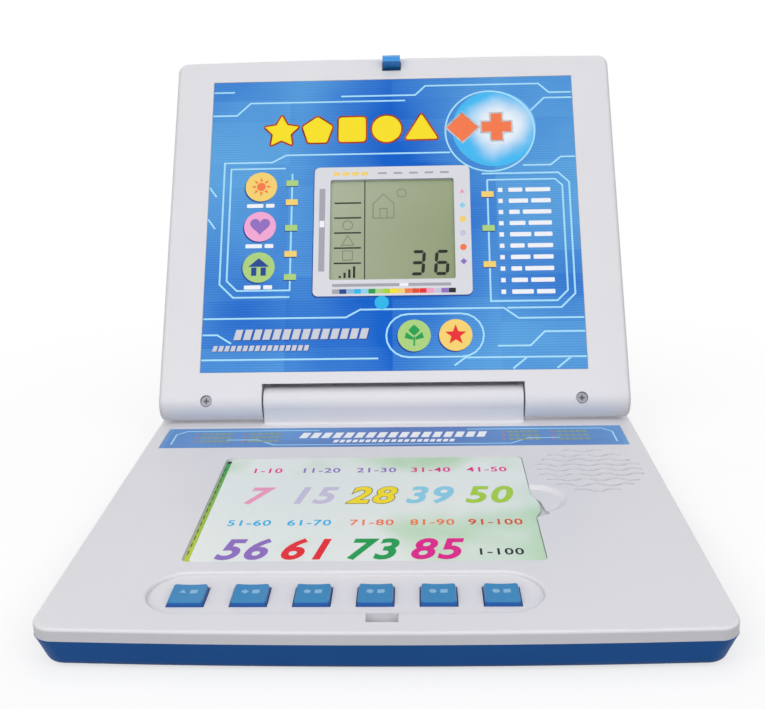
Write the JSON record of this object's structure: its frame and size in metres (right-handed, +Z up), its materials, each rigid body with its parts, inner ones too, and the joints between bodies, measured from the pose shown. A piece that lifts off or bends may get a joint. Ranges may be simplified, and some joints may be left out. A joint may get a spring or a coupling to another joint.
{
  "type": "toy laptop computer",
  "caption": "Clamshell toy laptop: white base with push keys, a card tray, a wavy speaker grille and a blue lower shell; hinged lid with a small screen in a blue panel and a sprung latch.",
  "frame": {"origin": "on the plane of the feet, under the middle of the base", "axes": "+X to the user's right, +Y from the user to the hinge, +Z up; the lid is stored open at its stop"},
  "size_m": [0.26, 0.3355, 0.2119],
  "materials": {
    "white_shell": "smooth moulded plastic, softly glossy",
    "blue_shell": "smooth moulded plastic, softly glossy",
    "key_blue": "smooth moulded plastic",
    "latch_blue": "smooth moulded plastic",
    "printed_strip": "printed plastic sheet",
    "printed_sheet": "printed plastic sheet",
    "printed_card": "printed coated card",
    "membrane": "printed film",
    "screen_glass": "polarised screen glass",
    "dark_plastic": "moulded plastic",
    "circuit_board": "lacquered board",
    "rubber": "soft rubber",
    "screw_steel": "zinc-plated steel",
    "contact_metal": "plated sheet metal",
    "battery_can": "plain wrapped cell",
    "speaker_paper": "pressed paper",
    "magnet": "sintered ferrite"
  },
  "bodies": {
    "base": {"base_top_cover": "white_shell", "base_bottom_shell": "blue_shell", "base_label": "printed_strip", "membrane_pad": "membrane", "main_board": "circuit_board", "key_mat": "rubber", "board_screws": "screw_steel", "base_screws": "screw_steel", "hinge_pins": "screw_steel", "rubber_feet": "rubber", "batteries": "battery_can", "battery_contacts": "contact_metal", "battery_cover": "blue_shell", "battery_cover_screw": "screw_steel", "speaker_basket": "contact_metal", "speaker_cone": "speaker_paper", "speaker_magnet": "magnet", "power_switch_body": "dark_plastic"},
    "power_slider": {"power_switch_slider": "key_blue"},
    "button_1": {"key_1": "key_blue"},
    "button_2": {"key_2": "key_blue"},
    "button_3": {"key_3": "key_blue"},
    "button_4": {"key_4": "key_blue"},
    "button_5": {"key_5": "key_blue"},
    "button_6": {"key_6": "key_blue"},
    "card": {"activity_card": "printed_card"},
    "lid": {"lid_front_cover": "white_shell", "lid_back_cover": "white_shell", "lid_overlay": "printed_sheet", "lcd_front_glass": "screen_glass", "lcd_rear_glass": "screen_glass", "zebra_strips": "rubber", "lcd_holder": "dark_plastic", "lid_board": "circuit_board", "lid_board_screws": "screw_steel", "lid_screws": "screw_steel"},
    "latch_slide": {"latch": "latch_blue", "latch_spring": "screw_steel"}
  },
  "joints": [
    {"name": "lid_hinge", "type": "hinge", "parent": "base", "child": "lid", "pos_m": [0, 0.101, 0.0293], "axis": [-1, 0, 0], "range_deg": [-123, 0]},
    {"name": "latch_press", "type": "slide", "parent": "lid", "child": "latch_slide", "axis": [0, -0.5446, -0.8387], "range_m": [0, 0.0018], "stiffness_N_per_m": 300},
    {"name": "key_1_press", "type": "slide", "parent": "base", "child": "button_1", "axis": [0, 0, -1], "range_m": [0, 0.0012], "stiffness_N_per_m": 400},
    {"name": "key_2_press", "type": "slide", "parent": "base", "child": "button_2", "axis": [0, 0, -1], "range_m": [0, 0.0012], "stiffness_N_per_m": 400},
    {"name": "key_3_press", "type": "slide", "parent": "base", "child": "button_3", "axis": [0, 0, -1], "range_m": [0, 0.0012], "stiffness_N_per_m": 400},
    {"name": "key_4_press", "type": "slide", "parent": "base", "child": "button_4", "axis": [0, 0, -1], "range_m": [0, 0.0012], "stiffness_N_per_m": 400},
    {"name": "key_5_press", "type": "slide", "parent": "base", "child": "button_5", "axis": [0, 0, -1], "range_m": [0, 0.0012], "stiffness_N_per_m": 400},
    {"name": "key_6_press", "type": "slide", "parent": "base", "child": "button_6", "axis": [0, 0, -1], "range_m": [0, 0.0012], "stiffness_N_per_m": 400},
    {"name": "card_lift", "type": "slide", "parent": "base", "child": "card", "axis": [0, 0, 1], "range_m": [0, 0.03]},
    {"name": "power_slide", "type": "slide", "parent": "base", "child": "power_slider", "axis": [1, 0, 0], "range_m": [0, 0.004]}
  ]
}
